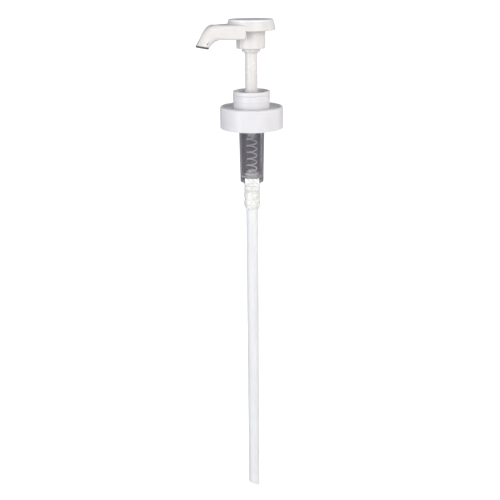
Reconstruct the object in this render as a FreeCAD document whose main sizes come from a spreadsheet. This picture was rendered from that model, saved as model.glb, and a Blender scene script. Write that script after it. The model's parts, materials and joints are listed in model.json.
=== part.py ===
import FreeCAD, Part
import Sketcher

import math
import os
import re

from FreeCAD import Placement, Rotation, Vector

# Condiment pump dispenser for a 38-400 bottle neck.
#
# Frame: millimetres, +Z up along the pump's axis. The origin is on the axis, in the plane where
# the gasket seals on the rim of the bottle's neck. The outlet points along -X.

# Driving dimensions: alias, value, what it is. "high" and "low" are heights above the neck plane.
SIZES = [
    ("closure_diameter", 43.5, "closure, outside"),
    ("closure_high", 6.7, "top of the closure's rim"),
    ("closure_low", -8.3, "open end of the closure"),
    ("closure_bore", 38.1, "closure, inside at the root of the thread"),
    ("closure_wall", 1.8, "thickness of the closure's top"),
    ("closure_rounding", 1.4, "rounding of the closure's top edge"),
    ("shelf_diameter", 39.2, "sunk shelf in the closure's top"),
    ("shelf_drop", 1.4, "depth of the sunk shelf"),
    ("thread_pitch", 4.233, "six threads to the inch"),
    ("thread_depth", 1.0, "height of the thread inside the closure"),
    ("thread_width", 2.2, "width of the thread at its root"),
    ("thread_low", -6.6, "middle of the thread's first turn"),
    ("thread_rise", 4.9, "rise of the thread from end to end"),
    ("running_gap", 0.08, "radial gap of a turning or sliding fit"),
    ("snap_gap", 0.06, "gap round a snapped-in or pushed-in part"),
    ("edge_rounding", 0.4, "rounding of moulded outer edges"),
    ("gasket_thick", 1.0, "neck gasket"),
    ("gasket_diameter", 35.6, "neck gasket, outside"),
    ("cylinder_bore", 14.6, "pump cylinder, inside"),
    ("cylinder_top_diameter", 18.0, "pump cylinder, outside under its flange"),
    ("cylinder_low_diameter", 16.4, "pump cylinder, outside at its lower end"),
    ("cylinder_low", -46.6, "lower end of the pump cylinder"),
    ("cylinder_floor", 1.0, "thickness of the cylinder's floor"),
    ("cylinder_rim", 2.5, "length of the two legs below the cylinder's floor"),
    ("leg_wall", 1.2, "thickness of those legs"),
    ("leg_gap", 10.0, "width of the opening between them"),
    ("leg_turn", -28.0, "turn of that opening about the axis, degrees"),
    ("cylinder_flange", 1.3, "thickness of the cylinder's flange"),
    ("flange_diameter", 35.0, "cylinder's flange"),
    ("vent_diameter", 1.4, "air vent in the cylinder wall"),
    ("vent_low", 5.0, "air vent, below the neck plane"),
    ("collar_diameter", 25.3, "collar above the closure"),
    ("collar_well", 23.2, "open well in the collar"),
    ("collar_high", 17.2, "top of the collar"),
    ("collar_floor", 6.0, "floor of the collar's well"),
    ("collar_flange", 1.2, "thickness of the collar's flange"),
    ("collar_flange_diameter", 34.0, "collar's flange under the closure"),
    ("bead_height", 2.4, "bead round the collar's top"),
    ("groove_height", 0.9, "groove under the bead"),
    ("groove_depth", 0.35, "depth of that groove"),
    ("lower_bead", 3.7, "softer bead under the groove"),
    ("collar_relief", 0.25, "step from that bead in to the collar's waist"),
    ("collar_seat", 5.4, "top of the band that the closure turns on"),
    ("spigot_low", -1.5, "lower end of the collar's spigot"),
    ("guide_high", 9.4, "top of the stem guide in the well"),
    ("guide_diameter", 13.6, "stem guide, outside"),
    ("seal_ring_section", 1.4, "section of the ring round the spigot"),
    ("seal_ring_high", 0.2, "height of that ring's middle"),
    ("wiper_diameter", 11.2, "stem wiper, outside"),
    ("wiper_low", 7.2, "underside of the stem wiper"),
    ("wiper_thick", 1.8, "stem wiper"),
    ("stem_diameter", 8.4, "stem, outside"),
    ("stem_bore", 5.2, "stem, inside"),
    ("stem_high", 50.3, "top end of the stem"),
    ("stem_shoulder", -2.6, "shoulder over the piston"),
    ("stem_neck_diameter", 6.5, "stem where the piston sits"),
    ("stem_neck_bore", 3.8, "stem, inside at that neck"),
    ("stem_low", -8.6, "lower end of the stem"),
    ("piston_high", -1.8, "tip of the piston's upper lip"),
    ("piston_height", 7.4, "piston from lip to lip"),
    ("piston_hub_diameter", 9.2, "piston's hub"),
    ("piston_wall_diameter", 13.4, "piston's outer wall between the lips"),
    ("piston_skin", 1.0, "thickness of the piston's wall"),
    ("retainer_flange_diameter", 10.0, "flange over the spring"),
    ("retainer_flange", 1.2, "thickness of that flange"),
    ("retainer_nose_diameter", 5.4, "nose inside the spring"),
    ("retainer_nose", 4.7, "length of the nose"),
    ("retainer_bore", 2.4, "passage through the retainer"),
    ("spring_diameter", 7.8, "return spring, outside"),
    ("spring_wire", 0.9, "spring wire"),
    ("spring_turns", 6.0, "turns between the closed ends, in halves"),
    ("spring_closed_pitch", 1.0, "pitch of the closed turn at each end"),
    ("foot_flange", 1.7, "foot valve's flange on the cylinder's floor"),
    ("foot_flange_diameter", 14.5, "foot valve's flange"),
    ("foot_neck_diameter", 11.9, "foot valve through the cylinder's floor"),
    ("foot_ring_section", 0.9, "section of the foot's seal ring"),
    ("foot_neck_low", -49.0, "lower end of that neck"),
    ("tail_diameter", 10.5, "tail between its rings"),
    ("tail_ring_diameter", 11.6, "tail over its rings"),
    ("tail_first", -49.6, "top of the upper ring"),
    ("tail_second", -54.2, "between the upper and middle rings"),
    ("tail_third", -59.5, "between the middle and lower rings"),
    ("tail_fourth", -65.2, "bottom of the lower ring"),
    ("tail_low", -66.9, "open end of the tail"),
    ("tube_high", -53.5, "top end of the dip tube"),
    ("tube_diameter", 8.6, "dip tube, outside"),
    ("tube_bore", 6.6, "dip tube, inside"),
    ("tube_low", -300.7, "longest side of the dip tube's slanting end"),
    ("tube_slant", 24.0, "slant of the tube's end, degrees"),
    ("inlet_ball_diameter", 5.2, "foot valve ball"),
    ("inlet_seat_low", -48.3, "narrow end of the foot valve's seat"),
    ("inlet_seat_bore", 3.2, "passage under the foot valve's seat"),
    ("inlet_chamber_bore", 5.8, "chamber round the foot valve's ball"),
    ("ball_gap", 0.03, "gap between a resting ball and its seat"),
    ("cage_low", -42.0, "underside of the inlet cage"),
    ("cage_high", -38.1, "top of the inlet cage"),
    ("cage_diameter", 5.1, "inlet cage above the foot"),
    ("cage_bore", 3.0, "passage through the inlet cage"),
    ("cage_slot", 1.0, "width of the inlet cage's slots"),
    ("cup_diameter", 9.8, "spring cup, outside"),
    ("cup_seat", 0.8, "thickness of the cup under the spring"),
    ("cup_height", 1.5, "spring cup"),
    ("hub_diameter", 12.4, "hub under the head"),
    ("hub_low", 43.0, "underside of the hub's ring"),
    ("hub_step_low", 42.1, "lower end of the step under that ring"),
    ("hub_step_diameter", 9.5, "step under the hub's ring"),
    ("skirt_diameter", 19.3, "skirt of the head"),
    ("skirt_wall", 1.45, "thickness of the skirt"),
    ("skirt_low", 45.3, "lower edge of the skirt"),
    ("skirt_ceiling", 55.5, "ceiling between hub and skirt"),
    ("key_reach", 9.7, "flat rib on the skirt, from the axis"),
    ("key_width", 5.6, "flat rib on the skirt"),
    ("head_low", 57.2, "lower edge of the head's rim"),
    ("head_high", 62.7, "top of the head under the thumb plate"),
    ("head_low_diameter", 33.2, "head at its lower edge"),
    ("head_high_diameter", 30.8, "head under the thumb plate"),
    ("head_wall", 1.8, "thickness of the head's walls"),
    ("chamber_bore", 6.8, "outlet valve chamber"),
    ("plate_high", 64.2, "top of the thumb plate"),
    ("plate_diameter", 30.4, "thumb plate"),
    ("plate_rounding", 0.5, "rounding of the plate's edge"),
    ("snap_diameter", 27.6, "snap ring under the plate, outside"),
    ("snap_width", 1.2, "width of the snap ring"),
    ("snap_depth", 1.0, "depth of the snap ring"),
    ("plug_low", 59.0, "lower end of the plate's plug"),
    ("passage_bore", 6.0, "passage through the arm"),
    ("passage_height", 56.5, "height of the passage"),
    ("root_reach", 9.6, "where the arm's sides start"),
    ("root_rounding", 1.3, "rounding of the arm's near end"),
    ("root_width", 24.8, "arm where its sides start"),
    ("root_high", 61.2, "top of the arm there"),
    ("arm_low", 51.8, "underside of the arm"),
    ("bend_reach", 25.5, "where the arm starts to bend"),
    ("bend_width", 11.6, "arm where it starts to bend"),
    ("bend_high", 61.3, "top of the arm there"),
    ("tip_reach", 35.9, "middle of the outlet, above its lip"),
    ("tip_height", 48.05, "middle of the outlet, above its lip"),
    ("tip_width", 9.1, "outlet, across"),
    ("tip_slant", 11.0, "end of the outlet from the level, degrees"),
    ("lip_length", 1.3, "bevelled lip of the outlet"),
    ("lip_width", 7.6, "end of the lip, across"),
    ("outlet_bore", 4.8, "bore of the outlet"),
    ("outlet_angle", 31.0, "outlet from the vertical, degrees"),
    ("outlet_lead", 2.0, "start of the outlet's bore, below the lip"),
    ("pocket_wall", 1.7, "walls round the pockets under the arm"),
    ("pocket_end", 3.5, "from the end of those pockets to the bend"),
    ("passage_wall", 1.4, "wall of the passage between the pockets"),
    ("valve_seat_high", 51.3, "top of the outlet seat's flange"),
    ("valve_seat_low", 46.3, "lower end of the outlet seat"),
    ("valve_seat_bore", 3.0, "passage through the outlet seat"),
    ("outlet_ball_diameter", 4.4, "outlet valve ball"),
    ("valve_cage_high", 58.9, "top of the outlet cage"),
    ("valve_cage_bore", 5.0, "outlet cage, inside"),
    ("valve_cage_stop", 55.6, "tip of the pin that stops the ball"),
    ("valve_slot_width", 3.6, "slots in the outlet cage"),
    ("valve_slot_low", 52.5, "lower end of those slots"),
]

doc = FreeCAD.newDocument("CondimentPump")
sheet = doc.addObject("Spreadsheet::Sheet", "Sizes")
for row, (alias, value, note) in enumerate(SIZES, start=1):
    sheet.set(f"A{row}", note)
    sheet.set(f"B{row}", str(value))
    sheet.setAlias(f"B{row}", alias)
doc.recompute()

NODES = []


def bound(expression):
    """The expression with each alias written the way other objects refer to it."""
    return re.sub(r"[a-z]+(?:_[a-z]+)+", lambda word: "Sizes." + word.group(0), expression)


def size(expression):
    """The expression's value now."""
    return float(sheet.evalExpression(bound(expression)))


def keep(shape_object, label):
    """Names a finished sub-part; the label is also its file's name."""
    shape_object.Label = label
    NODES.append(shape_object)
    return shape_object


def new_body(label):
    body = doc.addObject("PartDesign::Body", "Body_" + label)
    return keep(body, label)


def origin_feature(body, role):
    """One of a body's own planes or axes."""
    return next(feature for feature in body.Origin.OriginFeatures if feature.Role == role)


def set_offset(sketch, height="0", reach="0", tilt="0"):
    """Moves a sketch on its plane: up the plane's second axis, out along its normal, then tilts it."""
    turn = Rotation(Vector(1, 0, 0), size(tilt))
    sketch.AttachmentOffset = Placement(Vector(0, size(height), size(reach)), turn)
    sketch.setExpression("AttachmentOffset.Base.y", bound(height))
    sketch.setExpression("AttachmentOffset.Base.z", bound(reach))


def new_sketch(body, name, role):
    sketch = body.newObject("Sketcher::SketchObject", name)
    sketch.AttachmentSupport = [(origin_feature(body, role), "")]
    sketch.MapMode = "FlatFace"
    return sketch


def pin_point(sketch, edge, end, across, along):
    """Ties one end of an edge to the sketch's axes by two bound distances."""
    for kind, axis, expression in (("DistanceX", -2, across), ("DistanceY", -1, along)):
        if abs(size(expression)) < 1e-9:
            sketch.addConstraint(Sketcher.Constraint("PointOnObject", edge, end, axis))
            continue
        value = size(expression)
        number = sketch.addConstraint(Sketcher.Constraint(kind, -1, 1, edge, end, value))
        sketch.setExpression(f"Constraints[{number}]", bound(expression))


def arc_middle(start, finish, radius, side):
    """A point half-way along an arc that bulges to the left (1) or right (-1) of its chord."""
    chord = finish - start
    half = chord.Length / 2
    rise = radius - math.sqrt(max(radius * radius - half * half, 0.0))
    normal = Vector(-chord.y, chord.x, 0) / chord.Length
    return (start + finish) / 2 + normal * rise * side


def draw_outline(sketch, corners):
    """Draws a closed outline. A corner is (across, along), or (across, along, radius, side) where
    an arc leads on to the next corner."""
    points = [Vector(size(corner[0]), size(corner[1]), 0) for corner in corners]
    first_ends = []
    count = len(corners)
    for index, corner in enumerate(corners):
        start = points[index]
        finish = points[(index + 1) % count]
        if len(corner) == 2:
            sketch.addGeometry(Part.LineSegment(start, finish), False)
            first_ends.append(1)
            continue
        middle = arc_middle(start, finish, size(corner[2]), corner[3])
        clockwise = corner[3] > 0
        ends = (finish, start) if clockwise else (start, finish)
        sketch.addGeometry(Part.Arc(ends[0], middle, ends[1]), False)
        first_ends.append(2 if clockwise else 1)
    for index, corner in enumerate(corners):
        following = (index + 1) % count
        last_end = 3 - first_ends[index]
        joint = Sketcher.Constraint("Coincident", index, last_end, following, first_ends[following])
        sketch.addConstraint(joint)
    for index, corner in enumerate(corners):
        pin_point(sketch, index, first_ends[index], corner[0], corner[1])
        if len(corner) > 2:
            radius = Sketcher.Constraint("Radius", index, size(corner[2]))
            number = sketch.addConstraint(radius)
            sketch.setExpression(f"Constraints[{number}]", bound(corner[2]))
    return sketch


def draw_circle(sketch, diameter, across="0", along="0"):
    centre = Vector(size(across), size(along), 0)
    radius = size(diameter) / 2
    edge = sketch.addGeometry(Part.Circle(centre, Vector(0, 0, 1), radius), False)
    pin_point(sketch, edge, 3, across, along)
    number = sketch.addConstraint(Sketcher.Constraint("Radius", edge, radius))
    sketch.setExpression(f"Constraints[{number}]", bound(f"({diameter}) / 2"))
    return sketch


def turned(label, corners):
    """A round sub-part: its half section, (radius, height) points, turned about Z."""
    body = new_body(label)
    section = draw_outline(new_sketch(body, label + "_section", "XZ_Plane"), corners)
    solid = body.newObject("PartDesign::Revolution", label + "_turned")
    solid.Profile = section
    solid.ReferenceAxis = (section, ["V_Axis"])
    solid.Angle = 360
    section.Visibility = False
    doc.recompute()
    return body


def add_pad(body, sketch, length, reverse=False):
    pad = body.newObject("PartDesign::Pad", sketch.Name + "_pad")
    pad.Profile = sketch
    pad.setExpression("Length", bound(length))
    pad.Reversed = reverse
    doc.recompute()
    return pad


def cut_pocket(body, sketch, length, reverse=False, both_ways=False):
    """Cuts a pocket and makes sure that it took material away."""
    before = body.Shape.Volume
    pocket = body.newObject("PartDesign::Pocket", sketch.Name + "_pocket")
    pocket.Profile = sketch
    pocket.setExpression("Length", bound(length))
    pocket.Reversed = reverse
    pocket.Midplane = both_ways
    doc.recompute()
    if body.Shape.Volume > before - 1e-4:
        raise RuntimeError(f"{sketch.Name} cut nothing")
    return pocket


def repeat_round(body, feature, count):
    """Repeats a feature round the Z axis."""
    pattern = body.newObject("PartDesign::PolarPattern", feature.Name + "_round")
    pattern.Originals = [feature]
    pattern.Axis = (origin_feature(body, "Z_Axis"), [""])
    pattern.Angle = 360
    pattern.Occurrences = count
    body.Tip = pattern
    doc.recompute()
    return pattern


def ring(label, middle_radius, section, height):
    """A round-section seal ring."""
    torus = keep(doc.addObject("Part::Torus", "Torus_" + label), label)
    torus.setExpression("Radius1", bound(middle_radius))
    torus.setExpression("Radius2", bound(f"({section}) / 2"))
    torus.setExpression("Placement.Base.z", bound(height))
    return torus


def ball(label, diameter, seat_low, seat_bore):
    """A ball resting in a 45-degree seat whose narrow end is seat_bore wide at seat_low."""
    sphere = keep(doc.addObject("Part::Sphere", "Sphere_" + label), label)
    sphere.setExpression("Radius", bound(f"({diameter}) / 2"))
    middle = f"{seat_low} - {seat_bore} / 2 + ({diameter} / 2 + ball_gap) * sqrt(2)"
    sphere.setExpression("Placement.Base.z", bound(middle))
    return sphere


def make_closure():
    """Smooth-sided screw closure: rounded rim, sunk shelf, hole for the collar, inner thread."""
    hole = "collar_diameter / 2 + running_gap"
    shelf = "closure_high - shelf_drop"
    body = turned("closure", [
        ("closure_bore / 2 + 0.5", "closure_low"),
        ("closure_diameter / 2 - 0.4", "closure_low", "0.4", -1),
        ("closure_diameter / 2", "closure_low + 0.4"),
        ("closure_diameter / 2", "closure_high - closure_rounding", "closure_rounding", -1),
        ("closure_diameter / 2 - closure_rounding", "closure_high"),
        ("shelf_diameter / 2 + 0.3", "closure_high"),
        ("shelf_diameter / 2", shelf),
        (hole, shelf),
        (hole, shelf + " - closure_wall"),
        ("closure_bore / 2", shelf + " - closure_wall"),
        ("closure_bore / 2", "closure_low + 0.5"),
    ])
    tooth = draw_outline(new_sketch(body, "closure_tooth", "XZ_Plane"), [
        ("closure_bore / 2 + 0.3", "thread_low - thread_width / 2 - 0.2"),
        ("closure_bore / 2 + 0.3", "thread_low + thread_width / 2 + 0.2"),
        ("closure_bore / 2 - thread_depth", "thread_low + thread_width / 4"),
        ("closure_bore / 2 - thread_depth", "thread_low - thread_width / 4"),
    ])
    thread = body.newObject("PartDesign::AdditiveHelix", "closure_thread")
    thread.Profile = tooth
    thread.ReferenceAxis = (tooth, ["V_Axis"])
    thread.Mode = "pitch-height-angle"
    thread.setExpression("Pitch", bound("thread_pitch"))
    thread.setExpression("Height", bound("thread_rise"))
    doc.recompute()


def make_gasket():
    """Flat ring between the bottle's neck and the cylinder's flange."""
    turned("neck_gasket", [
        ("cylinder_top_diameter / 2 + 0.15", "0"),
        ("gasket_diameter / 2", "0"),
        ("gasket_diameter / 2", "gasket_thick"),
        ("cylinder_top_diameter / 2 + 0.15", "gasket_thick"),
    ])


def make_cylinder():
    """Pump cylinder: flange, slightly tapered wall, split floor with two legs below, air vent."""
    hole = "foot_neck_diameter / 2 + snap_gap"
    flange_high = "gasket_thick + cylinder_flange"
    floor_low = "cylinder_low + cylinder_rim"
    body = turned("cylinder", [
        (hole, floor_low),
        ("cylinder_low_diameter / 2 - leg_wall", floor_low),
        ("cylinder_low_diameter / 2 - leg_wall", "cylinder_low"),
        ("cylinder_low_diameter / 2 - edge_rounding", "cylinder_low", "edge_rounding", -1),
        ("cylinder_low_diameter / 2", "cylinder_low + edge_rounding"),
        ("cylinder_top_diameter / 2", "gasket_thick"),
        ("flange_diameter / 2", "gasket_thick"),
        ("flange_diameter / 2", flange_high),
        ("cylinder_bore / 2", flange_high),
        ("cylinder_bore / 2", floor_low + " + cylinder_floor"),
        (hole, floor_low + " + cylinder_floor"),
    ])
    corners = []
    for side, end in ((-1, -1), (1, -1), (1, 1), (-1, 1)):
        half = f"{side} * leg_gap / 2"
        reach = f"{end} * cylinder_top_diameter"
        corners.append((
            f"{half} * cos(leg_turn) + {reach} * sin(leg_turn)",
            f"{half} * sin(leg_turn) - {reach} * cos(leg_turn)"))
    opening = draw_outline(new_sketch(body, "cylinder_legs", "XY_Plane"), corners)
    set_offset(opening, reach="cylinder_low")
    cut_pocket(body, opening, "cylinder_rim + cylinder_floor", reverse=True)
    vent = draw_circle(new_sketch(body, "cylinder_vent", "XZ_Plane"), "vent_diameter", along="-vent_low")
    cut_pocket(body, vent, "cylinder_top_diameter")


def make_collar():
    """Collar: spigot in the cylinder, flange under the closure, open well with a stem guide."""
    flange_low = "gasket_thick + cylinder_flange"
    spigot = "cylinder_bore / 2 - 0.05"
    groove = "cylinder_bore / 2 - seal_ring_section"
    outside = "collar_diameter / 2"
    waist = "collar_diameter / 2 - collar_relief"
    bead_low = "collar_high - bead_height"
    groove_low = bead_low + " - groove_height"
    turned("collar", [
        ("stem_diameter / 2 + running_gap", "spigot_low"),
        ("cylinder_bore / 2 - 0.7", "spigot_low"),
        (spigot, "spigot_low + 0.7"),
        (spigot, "seal_ring_high - seal_ring_section / 2"),
        (groove, "seal_ring_high - seal_ring_section / 2"),
        (groove, "seal_ring_high + seal_ring_section / 2"),
        (spigot, "seal_ring_high + seal_ring_section / 2"),
        (spigot, flange_low),
        ("collar_flange_diameter / 2", flange_low),
        ("collar_flange_diameter / 2", flange_low + " + collar_flange"),
        (outside, flange_low + " + collar_flange"),
        (outside, "collar_seat"),
        (waist, "collar_seat + collar_relief"),
        (waist, groove_low + " - lower_bead - collar_relief"),
        (outside, groove_low + " - lower_bead"),
        (outside, groove_low),
        (outside + " - groove_depth", groove_low + " + groove_depth"),
        (outside + " - groove_depth", bead_low + " - groove_depth / 2"),
        (outside, bead_low),
        (outside, "collar_high - 0.7", "0.7", -1),
        (outside + " - 0.7", "collar_high"),
        ("collar_well / 2", "collar_high"),
        ("collar_well / 2", "collar_floor"),
        ("guide_diameter / 2", "collar_floor"),
        ("guide_diameter / 2", "guide_high"),
        ("wiper_diameter / 2", "guide_high"),
        ("wiper_diameter / 2", "wiper_low"),
        ("stem_diameter / 2 + running_gap", "wiper_low"),
    ])


def make_stem_wiper():
    """Soft lip ring round the stem, in the top of its guide."""
    turned("stem_wiper", [
        ("stem_diameter / 2 + 0.6", "wiper_low"),
        ("wiper_diameter / 2", "wiper_low"),
        ("wiper_diameter / 2", "wiper_low + wiper_thick"),
        ("stem_diameter / 2 + 0.35", "wiper_low + wiper_thick"),
        ("stem_diameter / 2 + 0.05", "wiper_low + wiper_thick * 0.75"),
    ])


def make_stem():
    """Hollow stem with a narrow neck for the piston."""
    turned("stem", [
        ("stem_neck_bore / 2", "stem_low"),
        ("stem_neck_diameter / 2 - 0.3", "stem_low"),
        ("stem_neck_diameter / 2", "stem_low + 0.3"),
        ("stem_neck_diameter / 2", "stem_shoulder"),
        ("stem_diameter / 2 - 0.2", "stem_shoulder"),
        ("stem_diameter / 2", "stem_shoulder + 0.4"),
        ("stem_diameter / 2", "stem_high"),
        ("stem_bore / 2", "stem_high"),
        ("stem_bore / 2", "stem_shoulder + 1.2"),
        ("stem_neck_bore / 2", "stem_shoulder + 0.4"),
    ])


def make_piston():
    """Soft piston: hub round the stem's neck, thin wall, wiping lip at each end."""
    inside = "stem_neck_diameter / 2 + 0.05"
    lip = "cylinder_bore / 2 - 0.05"
    wall = "piston_wall_diameter / 2"
    low = "piston_high - piston_height"
    middle = "piston_high - piston_height / 2"
    turned("piston", [
        (inside, low + " + 1.0"),
        (inside, "piston_high - 1.0"),
        ("piston_hub_diameter / 2", "piston_high - 1.0"),
        ("piston_hub_diameter / 2", middle + " + 0.65"),
        (wall + " - piston_skin", middle + " + 0.65"),
        (lip + " - 0.7", "piston_high"),
        (lip, "piston_high"),
        (wall, "piston_high - 2.4"),
        (wall, low + " + 2.4"),
        (lip, low),
        (lip + " - 0.7", low),
        (wall + " - piston_skin", middle + " - 0.65"),
        ("piston_hub_diameter / 2", middle + " - 0.65"),
        ("piston_hub_diameter / 2", low + " + 1.0"),
    ])


def make_piston_retainer():
    """Plug in the stem's end that carries the piston and bears on the spring."""
    nose_high = "stem_low - retainer_flange"
    turned("piston_retainer", [
        ("retainer_bore / 2", nose_high + " - retainer_nose"),
        ("retainer_nose_diameter / 2 - 0.8", nose_high + " - retainer_nose"),
        ("retainer_nose_diameter / 2", nose_high + " - retainer_nose + 1.2"),
        ("retainer_nose_diameter / 2", nose_high),
        ("retainer_flange_diameter / 2", nose_high),
        ("retainer_flange_diameter / 2", "stem_low"),
        ("stem_neck_bore / 2", "stem_low"),
        ("stem_neck_bore / 2", "stem_low + 4.2"),
        ("retainer_bore / 2", "stem_low + 4.2"),
    ])


def make_spring():
    """Right-hand coil spring with closed ends: a chain of half turns, each a slightly tilted arc."""
    low = size("cylinder_low + cylinder_rim + cylinder_floor + foot_flange + cup_seat + spring_wire / 2")
    high = size("stem_low - retainer_flange - spring_wire / 2")
    radius = size("(spring_diameter - spring_wire) / 2")
    closed_rise = size("spring_closed_pitch / 2")
    open_rise = (high - low - 4 * closed_rise) / (2 * size("spring_turns"))
    rises = [closed_rise] * 2 + [open_rise] * round(2 * size("spring_turns")) + [closed_rise] * 2
    arcs = []
    height = low
    side = -1
    start = Vector(side * radius, 0, height)
    section = Part.Wire(Part.makeCircle(size("spring_wire / 2"), start, Vector(0, 1, 0)))
    for rise in rises:
        start = Vector(side * radius, 0, height)
        middle = Vector(0, side * radius, height + rise / 2)
        finish = Vector(-side * radius, 0, height + rise)
        arcs.append(Part.Arc(start, middle, finish).toShape())
        height += rise
        side = -side
    spring = keep(doc.addObject("Part::Feature", "Coil_return_spring"), "return_spring")
    spring.Shape = Part.Wire(arcs).makePipeShell([section], True, True)


def make_foot():
    """Foot valve body: flange, seat for the ball, tail with three soft rings and a tube socket."""
    floor_high = "cylinder_low + cylinder_rim + cylinder_floor"
    high = floor_high + " + foot_flange"
    edge = "foot_flange_diameter / 2"
    groove = "cylinder_bore / 2 - foot_ring_section"
    middle = floor_high + " + foot_flange / 2"
    tail = "tail_diameter / 2"
    swell = "tail_ring_diameter / 2 - tail_diameter / 2"
    corners = [
        ("inlet_chamber_bore / 2", high),
        (edge, high),
        (edge, middle + " + foot_ring_section / 2"),
        (groove, middle + " + foot_ring_section / 2"),
        (groove, middle + " - foot_ring_section / 2"),
        (edge, middle + " - foot_ring_section / 2"),
        (edge, floor_high),
        ("foot_neck_diameter / 2", floor_high),
        ("foot_neck_diameter / 2", "foot_neck_low"),
    ]
    levels = ["tail_first", "tail_second", "tail_third", "tail_fourth"]
    for upper, lower in zip(levels[:-1], levels[1:]):
        half = f"({upper} - {lower}) / 2"
        bulge = f"({half} * {half} + ({swell}) * ({swell})) / (2 * ({swell}))"
        corners.append((tail, upper, bulge, 1))
    corners += [
        (tail, "tail_fourth"),
        ("tube_diameter / 2 + 0.35", "tail_low"),
        ("tube_diameter / 2", "tail_low"),
        ("tube_diameter / 2", "tube_high"),
        ("inlet_seat_bore / 2", "tube_high"),
        ("inlet_seat_bore / 2", "inlet_seat_low"),
        ("inlet_chamber_bore / 2", "inlet_seat_low + (inlet_chamber_bore - inlet_seat_bore) / 2"),
    ]
    turned("foot_valve_body", corners)
    ring("foot_valve_ring", "(cylinder_bore - foot_ring_section) / 2", "foot_ring_section", middle)


def make_inlet_cage():
    """Slotted cap in the foot's chamber that keeps the ball near its seat."""
    flange_high = "cylinder_low + cylinder_rim + cylinder_floor + foot_flange"
    body = turned("inlet_ball_cage", [
        ("cage_bore / 2", "cage_low"),
        ("inlet_chamber_bore / 2", "cage_low"),
        ("inlet_chamber_bore / 2", flange_high),
        ("cage_diameter / 2", flange_high),
        ("cage_diameter / 2", "cage_high"),
        ("cage_bore / 2", "cage_high"),
    ])
    half = "cage_slot / 2"
    slot = draw_outline(new_sketch(body, "cage_slots", "XZ_Plane"), [
        ("-" + half, "cage_low - 1"),
        (half, "cage_low - 1"),
        (half, "cage_high - 1"),
        ("-" + half, "cage_high - 1"),
    ])
    across = cut_pocket(body, slot, "2 * inlet_chamber_bore", both_ways=True)
    repeat_round(body, across, 4)


def make_spring_cup():
    """Shallow cup on the foot that centres the spring."""
    low = "cylinder_low + cylinder_rim + cylinder_floor + foot_flange"
    turned("spring_cup", [
        ("cage_diameter / 2 + 0.15", low),
        ("cup_diameter / 2", low),
        ("cup_diameter / 2", low + " + cup_height - 0.3"),
        ("cup_diameter / 2 - 0.3", low + " + cup_height"),
        ("spring_diameter / 2 + 0.15", low + " + cup_height"),
        ("spring_diameter / 2 + 0.15", low + " + cup_seat"),
        ("cage_diameter / 2 + 0.15", low + " + cup_seat"),
    ])


def make_dip_tube():
    """Straight tube with a slanting lower end, pushed into the foot's tail."""
    body = new_body("dip_tube")
    section = new_sketch(body, "tube_section", "XY_Plane")
    draw_circle(section, "tube_diameter")
    draw_circle(section, "tube_bore")
    set_offset(section, reach="tube_high")
    add_pad(body, section, "tube_high - tube_low", reverse=True)
    wedge = draw_outline(new_sketch(body, "tube_end", "XZ_Plane"), [
        ("tube_diameter / 2", "tube_low"),
        ("-tube_diameter / 2 - 1", "tube_low + (tube_diameter + 1) * tan(tube_slant)"),
        ("-tube_diameter / 2 - 1", "tube_low - 1"),
        ("tube_diameter / 2", "tube_low - 1"),
    ])
    cut_pocket(body, wedge, "3 * tube_diameter", both_ways=True)


def rounded_section(body, name, reach, height, tilt, width, depth, corner):
    """A rounded rectangle across the arm, at a distance out along -X, its top tilted outward."""
    sketch = new_sketch(body, name, "YZ_Plane")
    flat = f"({width}) / 2 - ({corner})"
    side = f"({depth}) / 2 - ({corner})"
    draw_outline(sketch, [
        (flat, f"-({depth}) / 2", corner, -1),
        (f"({width}) / 2", f"-({side})"),
        (f"({width}) / 2", side, corner, -1),
        (flat, f"({depth}) / 2"),
        (f"-({flat})", f"({depth}) / 2", corner, -1),
        (f"-({width}) / 2", side),
        (f"-({width}) / 2", f"-({side})", corner, -1),
        (f"-({flat})", f"-({depth}) / 2"),
    ])
    set_offset(sketch, height, f"-({reach})", f"-({tilt})")
    return sketch


def loft(body, name, sections, ruled):
    solid = body.newObject("PartDesign::AdditiveLoft", name)
    solid.Profile = sections[0]
    solid.Sections = sections[1:]
    solid.Ruled = ruled
    doc.recompute()
    return solid


# Middle of the outlet's mouth, at the end of its lip.
MOUTH_REACH = "tip_reach + lip_length * sin(tip_slant)"
MOUTH_HEIGHT = "tip_height - lip_length * cos(tip_slant)"


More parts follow.
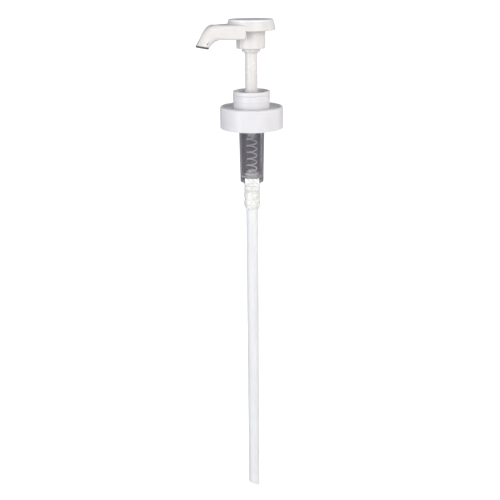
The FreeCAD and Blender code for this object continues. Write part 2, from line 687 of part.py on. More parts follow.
def make_head():
    """Head: hub, skirt and rim turned about Z, then the arm, its outlet and the passage."""
    rim = "head_low_diameter / 2"
    ceiling = "head_high - head_wall"
    snap_in = "snap_diameter / 2 - snap_width"
    body = turned("actuator_body", [
        ("stem_diameter / 2", "hub_step_low"),
        ("hub_step_diameter / 2", "hub_step_low"),
        ("hub_step_diameter / 2", "hub_low"),
        ("hub_diameter / 2 - edge_rounding", "hub_low", "edge_rounding", -1),
        ("hub_diameter / 2", "hub_low + edge_rounding"),
        ("hub_diameter / 2", "skirt_ceiling"),
        ("skirt_diameter / 2 - skirt_wall", "skirt_ceiling"),
        ("skirt_diameter / 2 - skirt_wall", "skirt_low"),
        ("skirt_diameter / 2 - edge_rounding", "skirt_low", "edge_rounding", -1),
        ("skirt_diameter / 2", "skirt_low + edge_rounding"),
        ("skirt_diameter / 2", ceiling),
        ("head_high_diameter / 2 - head_wall", ceiling),
        (rim + " - head_wall", "head_low"),
        (rim + " - edge_rounding", "head_low", "edge_rounding", -1),
        (rim + " - edge_rounding * 0.1", "head_low + edge_rounding"),
        ("head_high_diameter / 2", "head_high"),
        ("snap_diameter / 2", "head_high"),
        ("snap_diameter / 2", "head_high - snap_depth"),
        (snap_in, "head_high - snap_depth"),
        (snap_in, "head_high"),
        ("chamber_bore / 2", "head_high"),
        ("chamber_bore / 2", "stem_high"),
        ("stem_diameter / 2", "stem_high"),
    ])
    key = draw_outline(new_sketch(body, "skirt_key", "XY_Plane"), [
        ("-key_reach", "-key_width / 2"),
        ("-skirt_diameter / 2 + skirt_wall", "-key_width / 2"),
        ("-skirt_diameter / 2 + skirt_wall", "key_width / 2"),
        ("-key_reach", "key_width / 2"),
    ])
    set_offset(key, reach="skirt_low")
    add_pad(body, key, ceiling + " - skirt_low")
    neck = draw_outline(new_sketch(body, "arm_neck", "XY_Plane"), [
        ("-root_reach - root_rounding", "-bend_width / 2"),
        ("-skirt_diameter / 2 + skirt_wall", "-bend_width / 2"),
        ("-skirt_diameter / 2 + skirt_wall", "bend_width / 2"),
        ("-root_reach - root_rounding", "bend_width / 2"),
    ])
    set_offset(neck, reach="arm_low + root_rounding")
    add_pad(body, neck, ceiling + " - arm_low - root_rounding")
    add_arm(body)
    cut_arm(body)


def add_arm(body):
    """The arm's tapering sides, its curved elbow and the bevelled lip of the outlet."""
    root_middle = "(root_high + arm_low) / 2"
    bend_middle = "(bend_high + arm_low) / 2"
    sides = []
    # Share of the rounding that the near end has run through, and how far it is still drawn in.
    for name, run, inset in (("face", "0", "1"), ("half", "0.3", "0.29"), ("full", "1", "0")):
        sides.append(rounded_section(
            body, "arm_root_" + name, f"root_reach + root_rounding * {run}", root_middle, "0",
            f"root_width - 2 * root_rounding * {inset}",
            f"root_high - arm_low - 2 * root_rounding * {inset}", "1.6"))
    bend = rounded_section(
        body, "arm_bend", "bend_reach", bend_middle, "0", "bend_width", "bend_high - arm_low", "2.2")
    sides.append(bend)
    loft(body, "arm_sides", sides, True)
    drop = f"{bend_middle} - tip_height"
    elbow = [bend]
    # Shares of the way out and down from the bend to the tip, tilt, width, depth and corner.
    stations = (
        ("upper", "0.41", "0.135", "27", "10.2", "9.9", "3.3"),
        ("lower", "0.645", "0.45", "53.5", "9.1", "9.2", "4.2"),
        ("tip", "1", "1", "90 - tip_slant", "tip_width", "tip_width + 0.2", "tip_width / 2 - 0.06"),
    )
    for name, out, down, tilt, width, depth, corner in stations:
        elbow.append(rounded_section(
            body, "elbow_" + name, f"bend_reach + (tip_reach - bend_reach) * {out}",
            f"{bend_middle} - ({drop}) * {down}", tilt, width, depth, corner))
    loft(body, "elbow", elbow, False)
    lip = rounded_section(
        body, "lip_end", MOUTH_REACH, MOUTH_HEIGHT, "90 - tip_slant",
        "lip_width", "lip_width + 0.2", "lip_width / 2 - 0.06")
    loft(body, "lip", [elbow[-1], lip], True)


def cut_arm(body):
    """The passage through the arm, the bore of the outlet and the pockets under the arm."""
    lean = "tan(outlet_angle)"
    turn_reach = f"{MOUTH_REACH} - (passage_height - ({MOUTH_HEIGHT})) * {lean}"
    bore = draw_circle(new_sketch(body, "passage", "YZ_Plane"), "passage_bore", along="passage_height")
    cut_pocket(body, bore, f"{turn_reach} + passage_bore / 8")
    outlet = draw_circle(new_sketch(body, "outlet", "YZ_Plane"), "outlet_bore")
    start_height = f"{MOUTH_HEIGHT} - outlet_lead"
    set_offset(outlet, start_height, f"-({MOUTH_REACH} + outlet_lead * {lean})", "outlet_angle - 90")
    cut_pocket(body, outlet, f"(passage_height - ({start_height})) / cos(outlet_angle)", reverse=True)
    inner = "passage_bore / 2 + passage_wall"
    near_reach = "root_reach + pocket_wall + root_rounding"
    far_reach = "bend_reach - pocket_end"
    slope = "(root_width - bend_width) / 2 / (bend_reach - root_reach - root_rounding)"
    near_side = f"root_width / 2 - pocket_wall - pocket_wall * {slope}"
    far_side = f"root_width / 2 - pocket_wall - ({far_reach} - root_reach - root_rounding) * {slope}"
    for name, sign in (("left", ""), ("right", "-")):
        pocket = draw_outline(new_sketch(body, "arm_pocket_" + name, "XY_Plane"), [
            (f"-({near_reach})", f"{sign}({inner})"),
            (f"-({far_reach})", f"{sign}({inner})"),
            (f"-({far_reach})", f"{sign}({far_side})"),
            (f"-({near_reach})", f"{sign}({near_side})"),
        ])
        set_offset(pocket, reach="arm_low - 1")
        cut_pocket(body, pocket, "root_high - arm_low - 1", reverse=True)


def make_thumb_plate():
    """Flat round plate that closes the head: snap ring and a plug for the valve chamber."""
    snap_in = "snap_diameter / 2 - snap_width"
    edge = "plate_diameter / 2"
    turned("thumb_plate", [
        ("0", "plug_low"),
        ("chamber_bore / 2 - edge_rounding", "plug_low"),
        ("chamber_bore / 2 - snap_gap", "plug_low + edge_rounding"),
        ("chamber_bore / 2 - snap_gap", "head_high"),
        (snap_in + " + snap_gap", "head_high"),
        (snap_in + " + snap_gap", "head_high - snap_depth + snap_gap"),
        ("snap_diameter / 2 - snap_gap", "head_high - snap_depth + snap_gap"),
        ("snap_diameter / 2 - snap_gap", "head_high"),
        (edge, "head_high"),
        (edge + " - 0.15", "plate_high - plate_rounding", "plate_rounding", -1),
        (edge + " - 0.15 - plate_rounding", "plate_high"),
        ("0", "plate_high"),
    ])


def make_outlet_seat():
    """Seat insert in the stem's top for the outlet ball."""
    cone_rise = "(stem_bore - valve_seat_bore) / 2"
    turned("outlet_seat", [
        ("valve_seat_bore / 2", "valve_seat_low"),
        ("stem_bore / 2", "valve_seat_low"),
        ("stem_bore / 2", "stem_high"),
        ("chamber_bore / 2", "stem_high"),
        ("chamber_bore / 2", "valve_seat_high"),
        ("stem_bore / 2", "valve_seat_high"),
        ("valve_seat_bore / 2", f"valve_seat_high - {cone_rise}"),
    ])


def make_outlet_cage():
    """Slotted cage over the outlet ball, with a pin that stops its lift."""
    body = turned("outlet_cage", [
        ("0", "valve_cage_high - 1.1"),
        ("0", "valve_cage_high"),
        ("chamber_bore / 2", "valve_cage_high"),
        ("chamber_bore / 2", "valve_seat_high"),
        ("valve_cage_bore / 2", "valve_seat_high"),
        ("valve_cage_bore / 2", "valve_cage_high - 1.1"),
    ])
    half = "valve_slot_width / 2"
    slot = draw_outline(new_sketch(body, "outlet_cage_slots", "XZ_Plane"), [
        ("-" + half, "valve_slot_low"),
        (half, "valve_slot_low"),
        (half, "valve_cage_high - 1.1"),
        ("-" + half, "valve_cage_high - 1.1"),
    ])
    across = cut_pocket(body, slot, "2 * chamber_bore", both_ways=True)
    repeat_round(body, across, 4)
    stop = draw_circle(new_sketch(body, "outlet_cage_stop", "XY_Plane"), "2.4")
    set_offset(stop, reach="valve_cage_stop")
    add_pad(body, stop, "valve_cage_high - 0.5 - valve_cage_stop")


def check_document():
    """Stops if any object failed, or any sub-part's shape is missing or not valid."""
    for item in doc.Objects:
        if "Invalid" in item.State or "Error" in item.State:
            raise RuntimeError(f"{item.Name} failed: {item.State}")
    for node in NODES:
        shape = node.Shape
        if shape.isNull() or not shape.isValid():
            raise RuntimeError(f"{node.Label} has no valid shape")
        print(f"{node.Label:18s} solids {len(shape.Solids)}  volume {shape.Volume:10.2f} mm3")


make_closure()
make_gasket()
make_cylinder()
make_collar()
ring("cylinder_seal_ring", "cylinder_bore / 2 - seal_ring_section / 2", "seal_ring_section", "seal_ring_high")
make_stem_wiper()
make_stem()
make_piston()
make_piston_retainer()
make_spring()
make_foot()
ball("inlet_ball", "inlet_ball_diameter", "inlet_seat_low", "inlet_seat_bore")
make_inlet_cage()
make_spring_cup()
make_dip_tube()
make_head()
make_thumb_plate()
make_outlet_seat()
ball("outlet_ball", "outlet_ball_diameter",
     "(valve_seat_high - (stem_bore - valve_seat_bore) / 2)", "valve_seat_bore")
make_outlet_cage()

doc.recompute()
check_document()
os.makedirs("parts", exist_ok=True)
for node in NODES:
    node.Shape.exportStep(f"parts/{node.Label}.step")
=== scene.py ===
"""Condiment pump dispenser: materials, spring, light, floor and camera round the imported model."""
import json
import math

import bpy
from mathutils import Euler, Matrix, Vector


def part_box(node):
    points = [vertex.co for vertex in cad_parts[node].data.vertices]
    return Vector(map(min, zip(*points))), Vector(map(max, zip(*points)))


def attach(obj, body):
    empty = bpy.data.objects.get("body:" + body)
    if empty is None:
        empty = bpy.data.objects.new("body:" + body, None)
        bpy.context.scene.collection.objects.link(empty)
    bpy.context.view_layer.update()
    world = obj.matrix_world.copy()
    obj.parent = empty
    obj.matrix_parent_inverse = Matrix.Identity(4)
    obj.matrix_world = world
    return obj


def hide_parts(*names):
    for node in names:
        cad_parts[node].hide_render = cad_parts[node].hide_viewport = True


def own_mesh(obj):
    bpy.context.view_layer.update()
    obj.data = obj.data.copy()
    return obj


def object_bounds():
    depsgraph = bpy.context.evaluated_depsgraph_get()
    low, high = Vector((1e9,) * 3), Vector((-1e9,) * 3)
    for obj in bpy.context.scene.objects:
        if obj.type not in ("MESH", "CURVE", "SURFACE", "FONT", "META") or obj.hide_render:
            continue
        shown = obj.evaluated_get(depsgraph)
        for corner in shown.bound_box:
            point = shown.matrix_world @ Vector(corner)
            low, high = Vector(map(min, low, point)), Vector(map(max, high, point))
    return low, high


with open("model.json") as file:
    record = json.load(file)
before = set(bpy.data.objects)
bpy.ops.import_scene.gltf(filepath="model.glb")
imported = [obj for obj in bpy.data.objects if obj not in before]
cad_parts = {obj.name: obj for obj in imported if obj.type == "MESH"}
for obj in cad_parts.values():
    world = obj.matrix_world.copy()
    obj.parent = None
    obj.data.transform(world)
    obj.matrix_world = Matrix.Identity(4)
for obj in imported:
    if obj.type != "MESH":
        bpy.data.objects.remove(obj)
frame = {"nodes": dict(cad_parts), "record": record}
cad_low, cad_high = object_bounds()

MM = 0.001
CAMERA_AZIMUTH = math.radians(-28)
CAMERA_PITCH = math.radians(19.255)
CAMERA_DISTANCE = 0.550
CAMERA_HEIGHT = 0.09365
CAMERA_ASIDE = -0.0019
CAMERA_LENS = 57.29
CAMERA_ROLL = math.radians(-0.5)
TO_CAMERA = Vector((math.sin(CAMERA_AZIMUTH), -math.cos(CAMERA_AZIMUTH), 0))
TO_RIGHT = Vector((math.cos(CAMERA_AZIMUTH), math.sin(CAMERA_AZIMUTH), 0))
LIP_START = Vector((-35.9 * MM, 0, 48.05 * MM))
LIP_SLANT = math.radians(11)
ARM_END_LENGTH = 8 * MM
# Painted shade for the outlet's downward-facing bevelled lip.
LIP_SHADE_COLOUR = (0.12, 0.12, 0.09, 1)
WHITE = (1, 1, 1, 1)


# ---------------------------------------------------------------- materials

def new_material(name, **sockets):
    """A material with one Principled shader; each keyword sets the socket of that name."""
    material = bpy.data.materials.new(name)
    material.use_nodes = True
    shader = material.node_tree.nodes["Principled BSDF"]
    for key, value in sockets.items():
        shader.inputs[key.replace("_", " ")].default_value = value
    return material


def shader_of(material):
    return material.node_tree.nodes["Principled BSDF"]


def add_node(material, kind, **settings):
    node = material.node_tree.nodes.new(kind)
    for key, value in settings.items():
        setattr(node, key, value)
    return node


def connect(material, output, target):
    material.node_tree.links.new(output, target)


def noise(material, size, detail=2.0, stretch=(1, 1, 1)):
    """A noise whose blotches are about size metres across, longer along an axis by its stretch."""
    place = add_node(material, "ShaderNodeTexCoord")
    scale = add_node(material, "ShaderNodeMapping")
    scale.inputs["Scale"].default_value = [1 / (size * share) for share in stretch]
    texture = add_node(material, "ShaderNodeTexNoise")
    texture.inputs["Scale"].default_value = 1.0
    texture.inputs["Detail"].default_value = detail
    connect(material, place.outputs["Object"], scale.inputs["Vector"])
    connect(material, scale.outputs["Vector"], texture.inputs["Vector"])
    return texture.outputs["Fac"]


def spread(material, mask, low, high, target):
    """Drives a number socket from low to high by the middle of a noise's range."""
    ramp = add_node(material, "ShaderNodeMapRange")
    ramp.inputs["From Min"].default_value = 0.3
    ramp.inputs["From Max"].default_value = 0.7
    ramp.inputs["To Min"].default_value = low
    ramp.inputs["To Max"].default_value = high
    connect(material, mask, ramp.inputs["Value"])
    connect(material, ramp.outputs["Result"], target)


def mottle(material, mask, first, second):
    """Drifts the base colour between two colours."""
    ramp = add_node(material, "ShaderNodeValToRGB")
    ramp.color_ramp.elements[0].position = 0.3
    ramp.color_ramp.elements[1].position = 0.7
    ramp.color_ramp.elements[0].color = (*first, 1)
    ramp.color_ramp.elements[1].color = (*second, 1)
    connect(material, mask, ramp.inputs["Fac"])
    connect(material, ramp.outputs["Color"], shader_of(material).inputs["Base Color"])


def shade_cavities(material, reach, darkest):
    """Paints shade into the base colour of narrow corners and wells, where light is lost between the walls.
    """
    target = shader_of(material).inputs["Base Color"]
    colour = target.links[0].from_socket
    hollow = add_node(material, "ShaderNodeAmbientOcclusion", samples=8)
    hollow.inputs["Distance"].default_value = reach
    share = add_node(material, "ShaderNodeMapRange")
    share.inputs["From Min"].default_value = 0.1
    share.inputs["From Max"].default_value = 0.8
    share.inputs["To Min"].default_value = darkest
    share.inputs["To Max"].default_value = 1.0
    connect(material, hollow.outputs["AO"], share.inputs["Value"])
    scale = add_node(material, "ShaderNodeVectorMath", operation="SCALE")
    connect(material, colour, scale.inputs[0])
    connect(material, share.outputs["Result"], scale.inputs["Scale"])
    connect(material, scale.outputs["Vector"], target)


def paint_mouth_shade(material, piece):
    """Paints shade on the bevelled lip round the outlet's mouth, and nothing nearer the hub."""
    out = Vector((-math.sin(LIP_SLANT), 0, -math.cos(LIP_SLANT)))
    start = piece.matrix_world.inverted() @ LIP_START
    place = add_node(material, "ShaderNodeTexCoord")
    along = add_node(material, "ShaderNodeVectorMath", operation="DOT_PRODUCT")
    along.inputs[1].default_value = out
    connect(material, place.outputs["Object"], along.inputs[0])
    split = add_node(material, "ShaderNodeSeparateXYZ")
    connect(material, place.outputs["Object"], split.inputs["Vector"])
    lip = add_node(material, "ShaderNodeMapRange", interpolation_type="SMOOTHSTEP")
    lip.inputs["From Min"].default_value = start.dot(out) - 0.2 * MM
    lip.inputs["From Max"].default_value = start.dot(out) + 0.3 * MM
    connect(material, along.outputs["Value"], lip.inputs["Value"])
    far = add_node(material, "ShaderNodeMath", operation="LESS_THAN")
    far.inputs[1].default_value = start.x + ARM_END_LENGTH
    connect(material, split.outputs["X"], far.inputs[0])
    share = add_node(material, "ShaderNodeMath", operation="MULTIPLY")
    connect(material, lip.outputs["Result"], share.inputs[0])
    connect(material, far.outputs["Value"], share.inputs[1])
    target = shader_of(material).inputs["Base Color"]
    blend = add_node(material, "ShaderNodeMix", data_type="RGBA")
    connect(material, target.links[0].from_socket, blend.inputs["A"])
    blend.inputs["B"].default_value = LIP_SHADE_COLOUR
    connect(material, share.outputs["Value"], blend.inputs["Factor"])
    connect(material, blend.outputs["Result"], target)


def relief(material, *layers, edge=0.0):
    """Bumps of (mask, height) layers, over edges softened to a radius."""
    normal = None
    if edge:
        soft = add_node(material, "ShaderNodeBevel", samples=6)
        soft.inputs["Radius"].default_value = edge
        normal = soft.outputs["Normal"]
    for mask, height in layers:
        bump = add_node(material, "ShaderNodeBump")
        bump.inputs["Strength"].default_value = 1.0
        bump.inputs["Distance"].default_value = height
        connect(material, mask, bump.inputs["Height"])
        if normal is not None:
            connect(material, normal, bump.inputs["Normal"])
        normal = bump.outputs["Normal"]
    connect(material, normal, shader_of(material).inputs["Normal"])


def moulded_white(name, first, second, low_gloss=0.30, high_gloss=0.42, edge=0.15 * MM):
    """Injection-moulded polypropylene: soft light inside, faint flow marks, fine orange peel."""
    material = new_material(
        name, IOR=1.49, Subsurface_Weight=0.25, Subsurface_Radius=(1.0, 0.9, 0.8),
        Subsurface_Scale=1.2 * MM)
    mottle(material, noise(material, 9 * MM, 3.0, (1, 1, 2.2)), first, second)
    # Painted shade: the base colour darkens in corners and wells.
    shade_cavities(material, 2.5 * MM, 0.62)
    spread(material, noise(material, 2.5 * MM, 4.0), low_gloss, high_gloss,
           shader_of(material).inputs["Roughness"])
    relief(material,
           (noise(material, 6 * MM, 1.0, (1, 1, 1.6)), 0.012 * MM),
           (noise(material, 0.45 * MM, 2.0), 0.0016 * MM),
           edge=edge)
    return material


def let_light_in(material, tint):
    """Lets the lamps shine through a clear wall, since a refracting one would cast a full shadow.
    A tint above one brightens what is inside more than a real wall would."""
    ray = add_node(material, "ShaderNodeLightPath")
    window = add_node(material, "ShaderNodeBsdfTransparent")
    window.inputs["Color"].default_value = (*tint, 1)
    mix = add_node(material, "ShaderNodeMixShader")
    connect(material, ray.outputs["Is Shadow Ray"], mix.inputs["Fac"])
    connect(material, shader_of(material).outputs["BSDF"], mix.inputs[1])
    connect(material, window.outputs["BSDF"], mix.inputs[2])
    connect(material, mix.outputs["Shader"], material.node_tree.nodes["Material Output"].inputs["Surface"])


def smoky_clear():
    """Clear smoke-tinted plastic, polished, darker where the light runs further through the wall."""
    material = new_material("smoky_clear", IOR=1.48, Transmission_Weight=1.0)
    mottle(material, noise(material, 5 * MM, 2.0, (1, 1, 5)), (0.36, 0.35, 0.37), (0.41, 0.40, 0.425))
    spread(material, noise(material, 3 * MM, 3.0, (1, 1, 4)), 0.03, 0.08,
           shader_of(material).inputs["Roughness"])
    relief(material, (noise(material, 3.5 * MM, 1.0, (1, 1, 6)), 0.006 * MM), edge=0.1 * MM)
    let_light_in(material, (1.75, 1.75, 1.75))
    smoke = add_node(material, "ShaderNodeVolumeAbsorption")
    smoke.inputs["Color"].default_value = (0.10, 0.08, 0.12, 1)
    smoke.inputs["Density"].default_value = 200
    connect(material, smoke.outputs["Volume"], material.node_tree.nodes["Material Output"].inputs["Volume"])
    return material


def clear_natural():
    """Natural polypropylene, thin enough to let light through, slightly cloudy."""
    material = new_material("clear_natural", IOR=1.42, Transmission_Weight=0.42)
    mottle(material, noise(material, 4 * MM, 3.0), (0.84, 0.84, 0.82), (0.88, 0.88, 0.86))
    spread(material, noise(material, 2 * MM, 3.0), 0.24, 0.34, shader_of(material).inputs["Roughness"])
    relief(material, (noise(material, 1.6 * MM, 2.0), 0.003 * MM), edge=0.1 * MM)
    let_light_in(material, (0.85, 0.85, 0.84))
    return material


def drawn_tube():
    """Extruded natural polyethylene: milky, with fine lines along the tube."""
    material = new_material(
        "drawn_tube", IOR=1.51, Subsurface_Weight=0.4, Subsurface_Radius=(1.0, 0.95, 0.9),
        Subsurface_Scale=1.6 * MM)
    mottle(material, noise(material, 6 * MM, 3.0, (1, 1, 7)), (0.84, 0.84, 0.83), (0.90, 0.90, 0.89))
    spread(material, noise(material, 0.8 * MM, 3.0, (1, 1, 30)), 0.28, 0.45,
           shader_of(material).inputs["Roughness"])
    relief(material,
           (noise(material, 0.5 * MM, 2.0, (1, 1, 60)), 0.004 * MM),
           (noise(material, 12 * MM, 1.0, (1, 1, 3)), 0.03 * MM),
           edge=0.1 * MM)
    return material


def steel(name, low_gloss, high_gloss, stretch, metal=1.0):
    """Stainless steel with drawing marks; less metal makes it paler than bare steel."""
    material = new_material(name, Metallic=metal)
    mottle(material, noise(material, 1.2 * MM, 4.0, stretch), (0.88, 0.88, 0.88), (0.97, 0.96, 0.95))
    spread(material, noise(material, 0.6 * MM, 4.0, stretch), low_gloss, high_gloss,
           shader_of(material).inputs["Roughness"])
    relief(material, (noise(material, 0.25 * MM, 2.0, stretch), 0.001 * MM))
    return material


def soft_polymer(name, first, second, gloss, grain, height):
    """Foam, rubber or soft polyethylene: a dull surface with a grain."""
    material = new_material(name, IOR=1.5)
    mottle(material, noise(material, 8 * grain, 3.0), first, second)
    spread(material, noise(material, 2 * grain, 3.0), gloss - 0.08, gloss + 0.08,
           shader_of(material).inputs["Roughness"])
    relief(material, (noise(material, grain, 3.0), height), edge=0.1 * MM)
    return material


MATERIALS = {
    # The head's warmer base colour and the plate's cooler one are painted light colour.
    "head_white": moulded_white("head_plastic", (0.78, 0.755, 0.725), (0.82, 0.795, 0.77)),
    "plate_white": moulded_white("plate_plastic", (0.86, 0.86, 0.87), (0.90, 0.90, 0.91)),
    "closure_white": moulded_white("closure_plastic", (0.77, 0.76, 0.765), (0.81, 0.80, 0.805)),
    "collar_white": moulded_white("collar_plastic", (0.775, 0.765, 0.775), (0.815, 0.805, 0.815)),
    "stem_white": moulded_white("stem_plastic", (0.78, 0.76, 0.74), (0.82, 0.80, 0.78), 0.22, 0.32),
    "insert_white": moulded_white("insert_plastic", (0.80, 0.80, 0.78), (0.85, 0.85, 0.83), 0.4, 0.55),
    "wiper_white": soft_polymer(
        "wiper_polymer", (0.70, 0.70, 0.67), (0.78, 0.78, 0.75), 0.5, 0.4 * MM, 0.004 * MM),
    "piston_natural": soft_polymer(
        "piston_polymer", (0.70, 0.70, 0.66), (0.80, 0.80, 0.76), 0.42, 0.5 * MM, 0.003 * MM),
    "gasket_foam": soft_polymer(
        "gasket_foam", (0.74, 0.74, 0.72), (0.84, 0.84, 0.82), 0.75, 0.25 * MM, 0.03 * MM),
    "seal_rubber": soft_polymer(
        "seal_rubber", (0.62, 0.62, 0.60), (0.70, 0.70, 0.68), 0.5, 0.2 * MM, 0.004 * MM),
    "smoke_clear": smoky_clear(),
    "foot_clear": clear_natural(),
    "tube_natural": drawn_tube(),
    "spring_steel": steel("spring_wire", 0.26, 0.40, (1, 1, 1), 0.35),
    "ball_steel": steel("ball_steel", 0.08, 0.16, (1, 1, 1)),
}
SLOT_OF = {row["node"]: row["material_slot"] for row in frame["record"]["subparts"]}


def dress(node):
    """Gives a CAD node its own finish."""
    piece = frame["nodes"][node]
    piece.data.materials.clear()
    piece.data.materials.append(MATERIALS[SLOT_OF[node]])
    piece.data.polygons.foreach_set("material_index", [0] * len(piece.data.polygons))


# ---------------------------------------------------------------- spring

def make_spring():
    """The return spring as one smooth coil with closed ends."""
    low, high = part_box("return_spring")
    wire = 0.9 * MM
    coil = (high.x - low.x - wire) / 2
    foot = low.z + wire / 2
    top = high.z - wire / 2
    open_turns = 6.0
    closed_turns = 1.0
    closed_pitch = 1.1 * wire
    steps = 48
    total = open_turns + 2 * closed_turns
    open_pitch = (top - foot - 2 * closed_turns * closed_pitch) / open_turns
    points = []
    height = foot
    for step in range(round(total * steps) + 1):
        turn = step / steps
        angle = math.pi + 2 * math.pi * turn
        points.append(Vector((coil * math.cos(angle), coil * math.sin(angle), height)))
        ends = min(turn, total - turn)
        share = min(max((ends - closed_turns + 0.15) / 0.3, 0.0), 1.0)
        height += (closed_pitch + (open_pitch - closed_pitch) * share) / steps
    curve = bpy.data.curves.new("spring_line", "CURVE")
    curve.dimensions = "3D"
    curve.bevel_depth = wire / 2
    curve.bevel_resolution = 4
    curve.use_fill_caps = True
    line = curve.splines.new("POLY")
    line.points.add(len(points) - 1)
    for place, point in zip(line.points, points):
        place.co = (*point, 1)
    holder = bpy.data.objects.new("spring_line", curve)
    bpy.context.scene.collection.objects.link(holder)
    mesh = bpy.data.meshes.new_from_object(holder)
    bpy.data.objects.remove(holder)
    mesh.polygons.foreach_set("use_smooth", [True] * len(mesh.polygons))
    spring = bpy.data.objects.new("return_spring_coil", mesh)
    bpy.context.scene.collection.objects.link(spring)
    mesh.materials.clear()
    mesh.materials.append(MATERIALS["spring_steel"])
    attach(spring, "pump_housing")
    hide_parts("return_spring")
    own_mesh(spring)


# ---------------------------------------------------------------- stage

def make_floor():
    """A wide pale floor under the tube's end."""
    mesh = bpy.data.meshes.new("floor")
    half = 30.0
    height = cad_low.z - 0.5 * MM
    corners = [(-half, -half, height), (half, -half, height), (half, half, height), (-half, half, height)]
    mesh.from_pydata(corners, [], [(0, 1, 2, 3)])
    floor = bpy.data.objects.new("floor", mesh)
    bpy.context.scene.collection.objects.link(floor)
    material = bpy.data.materials.new("floor_white")
    material.use_nodes = True
    shader = shader_of(material)
    shader.inputs["Base Color"].default_value = (0.62, 0.62, 0.63, 1)
    shader.inputs["Roughness"].default_value = 0.9
    shader.inputs["Specular IOR Level"].default_value = 0.1
    seen = new_emission(material, WHITE, 0.9)
    bright = add_node(material, "ShaderNodeBsdfDiffuse")
    bright.inputs["Color"].default_value = (0.8, 0.8, 0.8, 1)
    both = add_node(material, "ShaderNodeAddShader")
    connect(material, seen.outputs["Emission"], both.inputs[0])
    connect(material, bright.outputs["BSDF"], both.inputs[1])
    mix = add_node(material, "ShaderNodeMixShader")
    connect(material, sees_backdrop(material.node_tree), mix.inputs["Fac"])
    connect(material, shader.outputs["BSDF"], mix.inputs[1])
    connect(material, both.outputs["Shader"], mix.inputs[2])
    connect(material, mix.outputs["Shader"], material.node_tree.nodes["Material Output"].inputs["Surface"])
    mesh.materials.append(material)


def sees_backdrop(tree):
    """One for a ray that looks at the stage directly or through a clear part, zero for the rest."""
    ray = tree.nodes.new("ShaderNodeLightPath")
    either = tree.nodes.new("ShaderNodeMath")
    either.operation = "MAXIMUM"
    tree.links.new(ray.outputs["Is Camera Ray"], either.inputs[0])
    tree.links.new(ray.outputs["Is Transmission Ray"], either.inputs[1])
    return either.outputs["Value"]


def new_emission(material, colour, strength):
    glow = add_node(material, "ShaderNodeEmission")
    glow.inputs["Color"].default_value = colour
    glow.inputs["Strength"].default_value = strength
    return glow


def make_world():
    """A soft studio: grey walls that dim overhead and behind, and a backdrop that only shows directly
    or through the clear parts. It is white all round to the camera, and dims towards the front to
    the clear parts."""
    world = bpy.data.worlds.new("studio")
    bpy.context.scene.world = world
    world.use_nodes = True
    tree = world.node_tree
    nodes, links = tree.nodes, tree.links
    nodes.clear()
    place = nodes.new("ShaderNodeTexCoord")
    split = nodes.new("ShaderNodeSeparateXYZ")
    links.new(place.outputs["Generated"], split.inputs["Vector"])
    rise = nodes.new("ShaderNodeValToRGB")
    rise.color_ramp.elements[0].position = 0.0
    rise.color_ramp.elements[0].color = (0.72, 0.72, 0.72, 1)
    rise.color_ramp.elements[1].position = 0.8
    rise.color_ramp.elements[1].color = (0.36, 0.37, 0.42, 1)
    links.new(split.outputs["Z"], rise.inputs["Fac"])
    behind = nodes.new("ShaderNodeVectorMath")
    behind.operation = "DOT_PRODUCT"
    behind.inputs[1].default_value = -TO_CAMERA
    links.new(place.outputs["Generated"], behind.inputs[0])

    def along_depth(start, finish, first, last):
        """Changes smoothly from the first value to the last with the share of the way behind."""
        change = nodes.new("ShaderNodeMapRange")
        change.interpolation_type = "SMOOTHSTEP"
        values = (("From Min", start), ("From Max", finish), ("To Min", first), ("To Max", last))
        for socket, value in values:
            change.inputs[socket].default_value = value
        links.new(behind.outputs["Value"], change.inputs["Value"])
        return change.outputs["Result"]

    walls = nodes.new("ShaderNodeBackground")
    links.new(rise.outputs["Color"], walls.inputs["Color"])
    links.new(along_depth(-0.2, 0.9, 1.0, 0.45), walls.inputs["Strength"])
    backdrop = nodes.new("ShaderNodeBackground")
    backdrop.inputs["Color"].default_value = (1.1, 1.1, 1.1, 1)
    ray = nodes.new("ShaderNodeLightPath")
    bright = nodes.new("ShaderNodeMath")
    bright.operation = "MAXIMUM"
    bright.use_clamp = True
    links.new(ray.outputs["Is Camera Ray"], bright.inputs[0])
    links.new(along_depth(0.25, 0.72, 0.7, 1.0), bright.inputs[1])
    links.new(bright.outputs["Value"], backdrop.inputs["Strength"])
    mix = nodes.new("ShaderNodeMixShader")
    links.new(sees_backdrop(tree), mix.inputs["Fac"])
    links.new(walls.outputs["Background"], mix.inputs[1])
    links.new(backdrop.outputs["Background"], mix.inputs[2])
    output = nodes.new("ShaderNodeOutputWorld")
    links.new(mix.outputs["Shader"], output.inputs["Surface"])


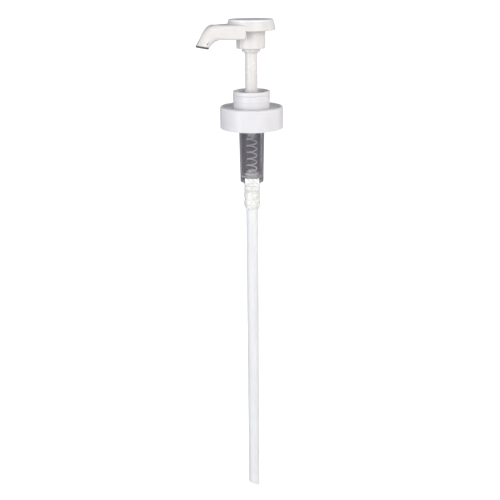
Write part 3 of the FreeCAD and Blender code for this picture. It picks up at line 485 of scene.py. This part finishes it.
def add_light(name, side, elevation, distance, aim, width, height, power, colour):
    """A soft box: side is its angle round from the camera (positive to the right), both in degrees."""
    data = bpy.data.lights.new(name, "AREA")
    data.shape = "RECTANGLE"
    data.size = width
    data.size_y = height
    data.energy = power
    data.color = colour
    lamp = bpy.data.objects.new(name, data)
    bpy.context.scene.collection.objects.link(lamp)
    turn = Matrix.Rotation(math.radians(side), 3, "Z")
    flat = turn @ TO_CAMERA
    rise = math.radians(elevation)
    back = flat * math.cos(rise) + Vector((0, 0, math.sin(rise)))
    lamp.location = aim + back * distance
    lamp.rotation_mode = "QUATERNION"
    lamp.rotation_quaternion = back.to_track_quat("Z", "Y")
    lamp.visible_camera = False
    return lamp


def make_lights():
    neck = Vector((0, 0, 0))
    low = Vector((0, 0, -0.12))
    add_light("key", 30, 16, 1.3, low, 0.7, 1.0, 7.5, (1.0, 0.975, 0.94))
    add_light("fill", -42, 10, 1.4, low, 0.6, 0.9, 4.6, (0.88, 0.93, 1.0))
    add_light("side", 98, 12, 1.0, low, 0.25, 0.9, 2.2, (1.0, 0.98, 0.95))
    add_light("strip", -47, 6, 0.8, neck, 0.03, 0.5, 1.2, (1.0, 1.0, 1.0))


def make_camera():
    """The view from the front, a little left of the outlet's side, from just above the head."""
    data = bpy.data.cameras.new("camera")
    data.lens = CAMERA_LENS
    data.sensor_width = 36
    data.clip_start = 0.01
    camera = bpy.data.objects.new("camera", data)
    bpy.context.scene.collection.objects.link(camera)
    stand = Vector((0, 0, CAMERA_HEIGHT)) + TO_RIGHT * CAMERA_ASIDE
    camera.location = TO_CAMERA * CAMERA_DISTANCE + stand
    tilt = Euler((math.radians(90) - CAMERA_PITCH, 0, CAMERA_AZIMUTH)).to_matrix()
    roll = Matrix.Rotation(CAMERA_ROLL, 3, "Z")
    camera.rotation_mode = "QUATERNION"
    camera.rotation_quaternion = (tilt @ roll).to_quaternion()
    bpy.context.scene.camera = camera


def set_colour_management():
    view = bpy.context.scene.view_settings
    view.view_transform = "Standard"
    view.look = "None"
    view.exposure = 0.0
    view.gamma = 1.0


for node in frame["nodes"]:
    dress(node)
# Painted shade on the outlet's bevelled lip.
paint_mouth_shade(MATERIALS["head_white"], frame["nodes"]["actuator_body"])
make_spring()
make_floor()
make_world()
make_lights()
make_camera()
set_colour_management()
